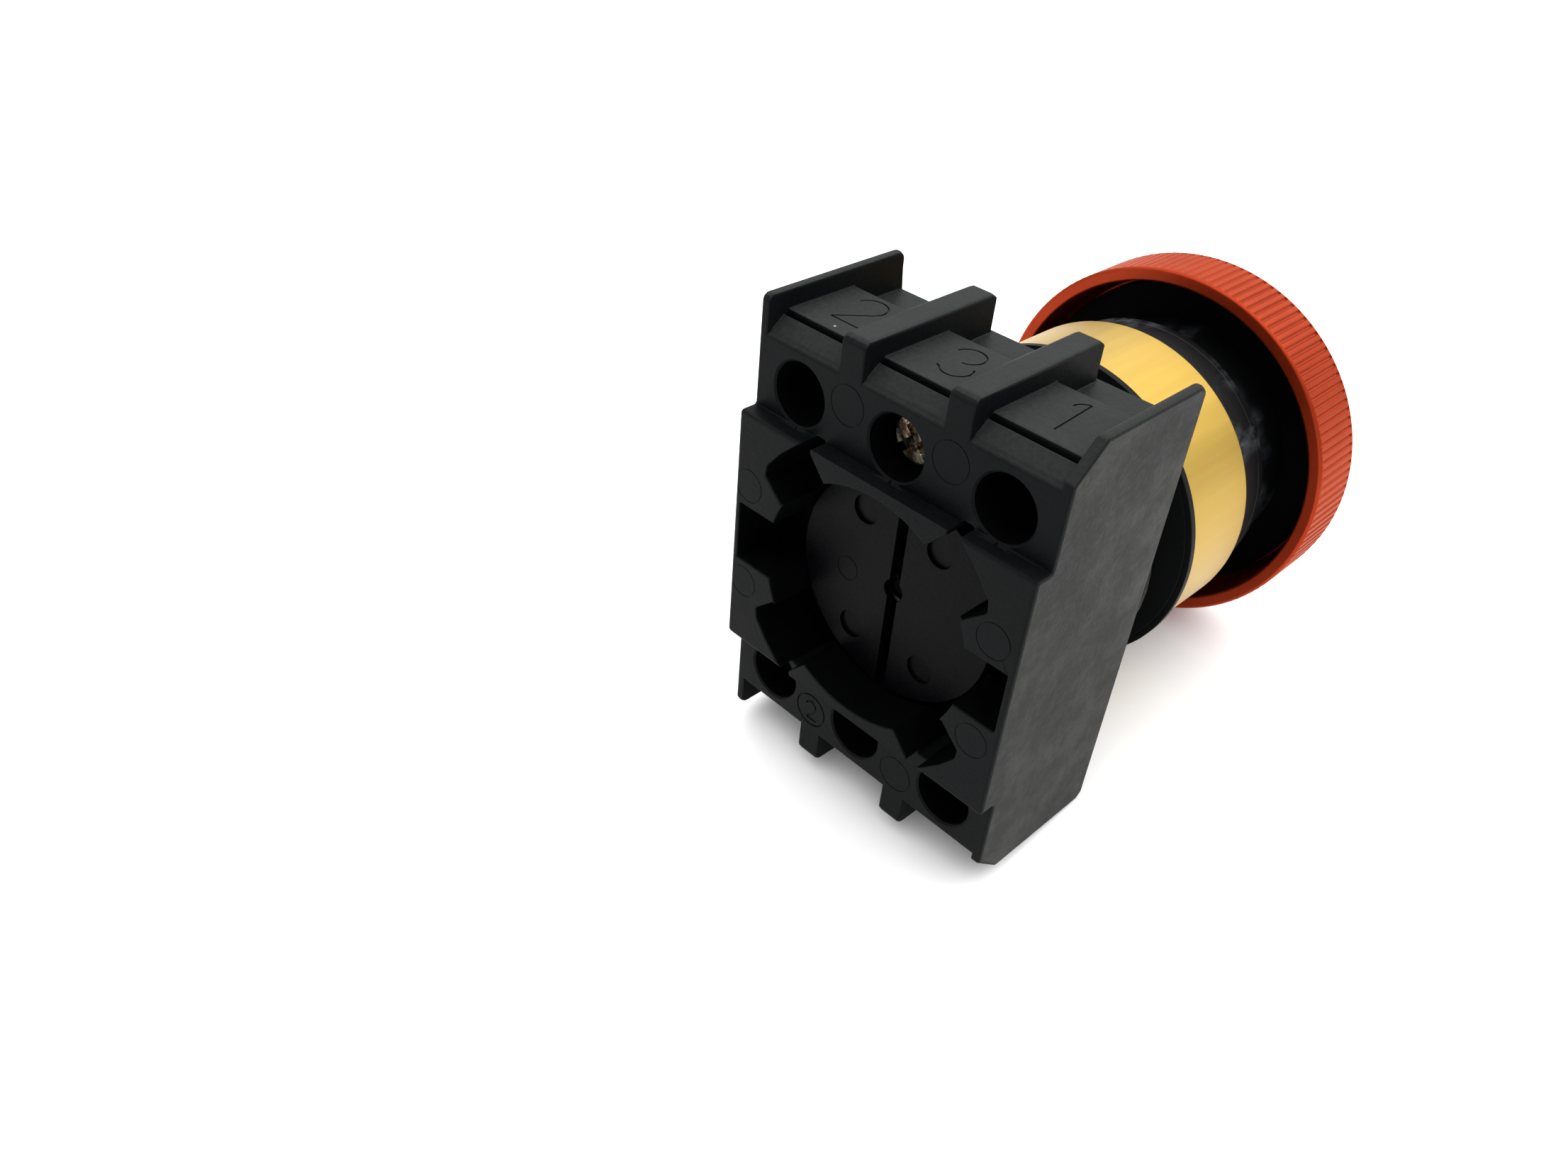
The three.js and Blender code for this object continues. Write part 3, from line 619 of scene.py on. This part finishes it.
def tile_place(centre_u, foot_w):
    """Digits on the tiles read from behind, so they run towards -X and their tops towards -Y."""
    return lambda s, t, h: Vector((-(centre_u + s), COLLAR_Y - (foot_w + t), TILE_TOP_Z + h))


def face_place(u, v, y, scale):
    return lambda s, t, h: Vector((-(u + s * scale), y + h, v + t * scale))


def engrave_digit(piece, digit, place, width, depth):
    for points in digit_strokes(digit):
        cut_away(piece, prism(stroke(points, width), place, -depth, ABOVE))


def engrave_circle(piece, centre, radius, y, width=MARK_WIDTH, depth=MARK_DEPTH):
    """The witness line of an ejector pin round centre (x, z) on a face that looks to +Y."""
    inner, outer = radius - width / 2, radius + width / 2
    low, high = y - depth, y + ABOVE
    profile = [(inner, low), (outer, low), (outer, high), (inner, high)]
    cut_away(piece, turned("cutter", profile, 56, centre=centre))


def near_access_hole(middle):
    return any(
        math.hypot(middle.x - x, middle.z - z) < ACCESS_HOLE_R + 0.25
        for x in ACCESS_HOLES_X for z in (-TERMINAL_Z, TERMINAL_Z)
    )


def housing_edge(middle):
    """How far an edge of the housing is rounded, by where it is. The edges of the access holes get a
    chamfer of their own, and those deep inside stay sharp."""
    x, y, z = middle
    inside = y < 9 and abs(x) < 12.7
    in_well = math.hypot(x, z) < WELL_RADIUS + 0.4 and y < COLLAR_Y - 0.1
    beside_fin = 22.3 < y < 22.8 and 17 < abs(z) < 19
    if near_access_hole(middle) or inside or in_well or beside_fin:
        return 0
    if abs(z) > TILE_TOP_Z + 0.5 or abs(x) > WALL_X:
        return 0.3
    if y > COLLAR_Y - 0.1 and abs(z) > COLLAR_HALF_HEIGHT:
        return 0.34
    if y > TERMINAL_FACE_Y - 0.1 and abs(z) > COLLAR_HALF_HEIGHT + 0.2:
        return 0.2
    return 0.15


def flare_access_hole(piece, x, z):
    """The small chamfer round the mouth of a screw's access hole."""
    face_y, flare = TERMINAL_FACE_Y, 0.16
    profile = [
        (0, face_y - flare), (ACCESS_HOLE_R, face_y - flare),
        (ACCESS_HOLE_R + flare + ABOVE, face_y + ABOVE), (0, face_y + ABOVE),
    ]
    cut_away(piece, turned("cutter", profile, 64, closed=False, centre=(x, z)))


def housing_finish_and_shade(normal, middle):
    """1 on the rubbed outer sides (partly painted sheen), 2 in the well and access holes (painted shade),
    0 elsewhere.
    """
    if abs(normal.x) > 0.99 and abs(middle.x) > WALL_X + 0.1:
        return 1
    within_collar = abs(middle.x) < WALL_X - 0.3 and abs(middle.z) < COLLAR_HALF_HEIGHT - 0.1
    in_well = within_collar and middle.y < COLLAR_Y - 0.3
    in_hole = near_access_hole(middle) and middle.y < TERMINAL_FACE_Y - 0.3
    return 2 if in_well or in_hole else 0


def contact_housing():
    piece = rounded("contact_housing", housing_edge)
    for x in ACCESS_HOLES_X:
        for z in (-TERMINAL_Z, TERMINAL_Z):
            flare_access_hole(piece, x, z)
    for digit, centre_u, foot_w in TILE_DIGITS:
        engrave_digit(piece, digit, tile_place(centre_u, foot_w), DIGIT_WIDTH, DIGIT_DEPTH)
    for mark in TERMINAL_MARKS:
        engrave_circle(piece, mark, TERMINAL_MARK_R, TERMINAL_FACE_Y)
    engrave_circle(piece, NUMBERED_MARK, TERMINAL_MARK_R, TERMINAL_FACE_Y, DIGIT_WIDTH, DIGIT_DEPTH)
    x, z = NUMBERED_MARK
    small_digit = face_place(-x, z - 1.0, TERMINAL_FACE_Y, 0.4)
    engrave_digit(piece, "2", small_digit, 0.4, DIGIT_DEPTH)
    for mark in COLLAR_MARKS:
        engrave_circle(piece, mark, COLLAR_MARK_R, COLLAR_Y)
    stand_for(piece, "contact_housing", BLACK)
    # The outer sides take the rubbed plastic, whose lighter grey is partly painted sheen.
    piece.data.materials.append(SCUFFED_AND_SHEEN)
    # The darker copy of the plastic goes down in the well and the access holes, as painted shade.
    piece.data.materials.append(SHADED_BLACK)
    for polygon in piece.data.polygons:
        polygon.material_index = housing_finish_and_shade(polygon.normal, polygon.center / MM)


def rear_covers():
    """The two half discs in the well, with round recesses; the left one has an ejector's mark."""
    for node, side in (("rear_cover_left", 1), ("rear_cover_right", -1)):
        piece = rounded(node, 0.1)
        face_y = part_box(node)[1].y / MM
        x = PIT_PLACE[0] * side
        for z in (-PIT_PLACE[1], PIT_PLACE[1]):
            pit = [
                (0, face_y - PIT_DEPTH), (PIT_RADIUS, face_y - PIT_DEPTH),
                (PIT_RADIUS, face_y + ABOVE), (0, face_y + ABOVE),
            ]
            cut_away(piece, turned("cutter", pit, 48, closed=False, centre=(x, z)))
        if side > 0:
            engrave_circle(piece, COVER_MARK, COVER_MARK_R, face_y)
        stand_for(piece, node, SMOOTH)


# ---------------------------------------------------------------- head

KNURL_RIDGES = 132
KNURL_COLUMNS = 8
KNURL_DEPTH = 0.17
KNURL_SHAPE = (0, 0, 0, 0, 0.15, 0.8, 1.0, 0.8)
HEAD_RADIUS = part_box("mushroom_head")[1].x / MM
HEAD_REAR_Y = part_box("mushroom_head")[1].y / MM
HEAD_FRONT_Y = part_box("mushroom_head")[0].y / MM
HEAD_INNER_R = 16.2
HEAD_INNER_Y = -22.2
CROWN_R = 16.6
CROWN_DROP = 1.0
ARROW_RADIUS = 10.2
ARROW_DEPTH = 0.45
ARROW_WIDTH = 1.3
ARROW_HEAD_HALF = 1.9
# Degrees round the crown from an arrow's tail to the end of its shaft, its head's base and its tip.
SHAFT_SWEEP, BASE_SWEEP, TIP_SWEEP = 105, 103.5, 126


def knurled(r, y, column):
    """The rim's outer surface has a groove between each pair of ridges; the rest is plain."""
    if r < HEAD_RADIUS - 0.02:
        return r
    return r - KNURL_DEPTH * KNURL_SHAPE[column % KNURL_COLUMNS]


def crown_place(s, t, h):
    return Vector((s, HEAD_FRONT_Y - h, t))


def in_arrow(middle):
    """True on the flat bottoms of the release arrows, which are filled with paint."""
    at_depth = abs(middle.y - HEAD_FRONT_Y - ARROW_DEPTH) < 0.01
    return at_depth and math.hypot(middle.x, middle.z) < ARROW_RADIUS + 2.5


def mushroom_head():
    steps = 14
    crown = [
        (CROWN_R * i / steps, HEAD_FRONT_Y + CROWN_DROP * (i / steps) ** 4) for i in range(steps + 1)
    ]
    shoulder_y = HEAD_FRONT_Y + 1.7
    rim = softened(
        [
            (CROWN_R, HEAD_FRONT_Y + CROWN_DROP), (HEAD_RADIUS, shoulder_y),
            (HEAD_RADIUS, HEAD_REAR_Y - 0.22), (HEAD_RADIUS - 0.22, HEAD_REAR_Y),
            (HEAD_INNER_R + 0.15, HEAD_REAR_Y), (HEAD_INNER_R, HEAD_REAR_Y - 0.15),
            (HEAD_INNER_R, HEAD_INNER_Y + 0.6), (HEAD_INNER_R - 0.6, HEAD_INNER_Y), (0, HEAD_INNER_Y),
        ],
        0.1, closed=False,
    )
    columns = KNURL_RIDGES * KNURL_COLUMNS
    head = turned("mushroom_head_finished", crown + rim[1:], columns, closed=False, radius_at=knurled)
    for start in (155, 335):
        shaft = stroke(arc((0, 0), ARROW_RADIUS, start, start - SHAFT_SWEEP, 40), ARROW_WIDTH)
        cut_away(head, prism(shaft, crown_place, -ARROW_DEPTH, ABOVE))
        corners = [
            (reach * math.cos(math.radians(start - sweep)), reach * math.sin(math.radians(start - sweep)))
            for reach, sweep in (
                (ARROW_RADIUS, TIP_SWEEP), (ARROW_RADIUS + ARROW_HEAD_HALF, BASE_SWEEP),
                (ARROW_RADIUS - ARROW_HEAD_HALF, BASE_SWEEP),
            )
        ]
        cut_away(head, prism(corners, crown_place, -ARROW_DEPTH, ABOVE))
    stand_for(head, "mushroom_head", RED)
    head.data.materials.append(PAINT)
    for polygon in head.data.polygons:
        polygon.material_index = 1 if in_arrow(polygon.center / MM) else 0


def plunger_skirt():
    radius, front_y, rear_y = extent("plunger_skirt")
    inner, neck, step_y = 11.3, 12.2, -14.7
    groove_y = step_y + 0.9
    profile = softened(
        [
            (inner, front_y), (neck, front_y), (neck, step_y), (radius - 0.2, step_y),
            (radius, step_y + 0.2), (radius, groove_y), (radius - 0.04, groove_y + 0.05),
            (radius - 0.04, groove_y + 0.12), (radius, groove_y + 0.17), (radius, rear_y),
            (inner, rear_y),
        ],
        0.06,
    )
    stand_for(turned("plunger_skirt_finished", profile), "plunger_skirt", SKIRT)


def extent(node):
    """A turned node's outer radius and its front and rear ends, in millimetres."""
    low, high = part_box(node)
    return high.x / MM, low.y / MM, high.y / MM


def bezel_sleeve():
    radius, front_y, rear_y = extent("bezel_sleeve")
    wall, front_edge, rear_edge = 0.65, 0.2, 0.35
    profile = softened(
        [
            (radius - wall, front_y), (radius - front_edge, front_y), (radius, front_y + front_edge),
            (radius, rear_y - rear_edge), (radius - rear_edge, rear_y), (radius - wall, rear_y),
        ],
        0.1,
    )
    stand_for(turned("bezel_sleeve_finished", profile), "bezel_sleeve", GOLD)


def front_gasket():
    radius, front_y, rear_y = extent("front_gasket")
    inner, lip = 11.3, 0.45
    profile = softened(
        [
            (inner, front_y), (radius, front_y), (radius, rear_y), (radius - lip, rear_y),
            (radius - lip - 0.05, rear_y - 0.03), (radius - lip - 0.12, rear_y - 0.03),
            (radius - lip - 0.17, rear_y), (inner, rear_y),
        ],
        0.08,
    )
    stand_for(turned("front_gasket_finished", profile), "front_gasket", RUBBER)


def head_hub():
    radius, front_y, rear_y = extent("head_hub")
    bore, boss, disc_y = 3.3, 5.0, -20.6
    profile = softened(
        [
            (bore, front_y), (radius, front_y), (radius, disc_y), (boss, disc_y),
            (boss, rear_y), (bore, rear_y),
        ],
        0.2,
    )
    # The hub sits deep in the head and takes the darker copy of the plastic, as painted shade.
    stand_for(turned("head_hub_finished", profile), "head_hub", SHADED_BLACK)


# ---------------------------------------------------------------- body and nut

THREAD_PITCH = 1.5
THREAD_DEPTH = 0.65
THREAD_START_Y = 0.9
THREAD_FADE = 0.9


def actuator_body():
    """The body, with a true helical thread on its barrel, the lug slots and the keyway."""
    flange, front_y, rear_y = extent("actuator_body")
    barrel, bore, front_bore, wall = 11.0, 8.8, 4.9, 1.5
    flange_front_y, flange_rear_y = -2.5, -0.66
    columns = 144

    def threaded(r, y, column):
        if y < THREAD_START_Y or y > rear_y - 0.35 or r < barrel - 0.01:
            return r
        phase = (y / THREAD_PITCH + column / columns) % 1
        depth = THREAD_DEPTH * min(1, max(0, 1.4 * abs(2 * phase - 1) - 0.2))
        return r - depth * min(1, (y - THREAD_START_Y) / THREAD_FADE)

    shell = softened(
        [
            (barrel, flange_rear_y), (flange, flange_rear_y), (flange, flange_front_y),
            (barrel, flange_front_y), (barrel, front_y), (front_bore, front_y),
            (front_bore, front_y + wall), (bore, front_y + wall), (bore, rear_y),
            (barrel - THREAD_DEPTH, rear_y),
        ],
        0.12, closed=False,
    )
    rows = 62
    thread = [
        (barrel, rear_y - 0.25 - (rear_y - 0.25 - THREAD_START_Y) * i / rows) for i in range(rows + 1)
    ]
    body = turned("actuator_body_finished", shell + thread, columns, radius_at=threaded)
    lug_half, key_half, slot_y = 1.9, 1.3, 4.3
    cut_away(body, box_cutter((-10, slot_y, -lug_half), (10, rear_y + 1, lug_half)))
    cut_away(body, box_cutter((-key_half, 0.4, -12), (key_half, rear_y + 1, -9.9)))
    stand_for(body, "actuator_body", BLACK)


# ---------------------------------------------------------------- springs

def wound(node, radius, wire, turns, along, material):
    """A coil spring of round wire that fills its node's box along Y or X."""
    low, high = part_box(node)
    axis = "xyz".index(along)
    begin, end = low[axis] / MM + wire / 2, high[axis] / MM - wire / 2
    middle = (low + high) / (2 * MM)
    steps, sides = 40, 12
    bm = bmesh.new()
    rings = []
    for i in range(turns * steps + 1):
        angle = 2 * math.pi * i / steps
        height = begin + (end - begin) * i / (turns * steps)
        ring = []
        for k in range(sides):
            around = 2 * math.pi * k / sides
            reach = radius + wire / 2 * math.cos(around)
            across, up = reach * math.cos(angle), reach * math.sin(angle)
            forth = height + wire / 2 * math.sin(around)
            place = (across, forth, up) if along == "y" else (forth, middle.y + across, up)
            ring.append(bm.verts.new(Vector(place) * MM))
        rings.append(ring)
    for one, other in zip(rings, rings[1:]):
        for k in range(sides):
            j = (k + 1) % sides
            bm.faces.new([one[k], one[j], other[j], other[k]])
    bm.faces.new(rings[0])
    bm.faces.new(reversed(rings[-1]))
    bmesh.ops.recalc_face_normals(bm, faces=bm.faces)
    return stand_for(mesh_object(f"{node}_finished", bm), node, material)


# ---------------------------------------------------------------- build

BLACK = moulded_plastic("black_moulded", (0.002, 0.0023, 0.0027), (0.0042, 0.0048, 0.0053), 0.5)
# A darker, less glossy copy of the black plastic, used as painted shade deep in the block and the head.
SHADED_BLACK = moulded_plastic("black_moulded_painted_shade", (0.0008, 0.0009, 0.001), (0.0016, 0.0018, 0.002), 0.6, 0.02)
SMOOTH = moulded_plastic(
    "smooth_moulded", (0.0006, 0.0007, 0.001), (0.0015, 0.0016, 0.0022), 0.4, 0.05
)
SCUFFED_AND_SHEEN = scuffed_plastic_and_sheen()
RED = red_anodised()
PAINT = arrow_paint()
GOLD = gold_anodised()
SKIRT = satin_skirt()
RUBBER = soft_rubber()
STEEL = worn_metal("steel", (0.62, 0.62, 0.6), (0.42, 0.4, 0.37), 0.34, grain=(1, 0.05, 1))
# Steel darkened almost to black, as painted shade where the contact spring shows through the rear covers.
SHADED_STEEL = worn_metal("steel_painted_shade", (0.05, 0.05, 0.05), (0.02, 0.02, 0.02), 0.5)
SCREW = screw_metal()
ZINC = worn_metal("zinc", (0.5, 0.51, 0.52), (0.38, 0.38, 0.38), 0.45)
BRASS = worn_metal("brass", (0.72, 0.48, 0.2), (0.45, 0.27, 0.12), 0.36)
SILVER = worn_metal("silver", (0.9, 0.88, 0.83), (0.7, 0.66, 0.58), 0.28)

make_camera()
make_floor()
make_world()
make_light()

contact_housing()
rear_covers()
mushroom_head()
plunger_skirt()
bezel_sleeve()
front_gasket()
head_hub()
actuator_body()

wound("twist_spring", 6.0, 0.6, 4, "y", STEEL)
return_spring = wound("return_spring", 8.3, 0.9, 5, "y", STEEL)
# The contact spring is seen only in shade through the covers' hole, so it takes the darkened steel:
# painted shade.
contact_spring = wound("contact_spring", 1.9, 0.45, 5, "y", SHADED_STEEL)
latch_right = wound("latch_spring_right", 0.65, 0.25, 4, "x", STEEL)
latch_left = wound("latch_spring_left", 0.65, 0.25, 4, "x", STEEL)

for node, width, material in (
    ("front_cover", 0.15, BLACK), ("lock_ring", 0.08, BLACK), ("mounting_nut", 0.2, BLACK),
    ("stem", 0.1, ZINC), ("stem_seal", 0.15, RUBBER), ("latch_sleeve", 0.12, ZINC),
    ("hub_circlip", 0.08, STEEL), ("stem_circlip", 0.08, STEEL),
    ("latch_pin_right", 0.2, STEEL), ("latch_pin_left", 0.2, STEEL),
    # The contact plunger, seen only in shade through the covers, takes the darker copy as painted shade.
    ("contact_plunger", 0.1, SHADED_BLACK), ("contact_bridge", 0.1, BRASS),
):
    stand_for(rounded(node, width), node, material)
for end in ("top", "bottom"):
    stand_for(rounded(f"fixed_contact_{end}", 0.12), f"fixed_contact_{end}", BRASS)
    stand_for(rounded(f"fixed_tip_{end}", 0.16), f"fixed_tip_{end}", SILVER)
    stand_for(rounded(f"moving_tip_{end}", 0.16), f"moving_tip_{end}", SILVER)
    stand_for(rounded(f"clamp_plate_{end}", 0.12), f"clamp_plate_{end}", STEEL)
    stand_for(rounded(f"terminal_screw_{end}", 0.08), f"terminal_screw_{end}", SCREW)

for spring, joint, axis, anchor, keep in (
    (return_spring, "head_press", (0, 1, 0), (0, -9.65, 0), 0.63),
    (contact_spring, "contact_slide", (0, 1, 0), (0, 19.45, 0), 0.44),
    (latch_right, "latch_right_slide", (1, 0, 0), (8.55, 0, 0), 0.62),
    (latch_left, "latch_left_slide", (1, 0, 0), (-8.55, 0, 0), 0.62),
):
    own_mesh(spring)
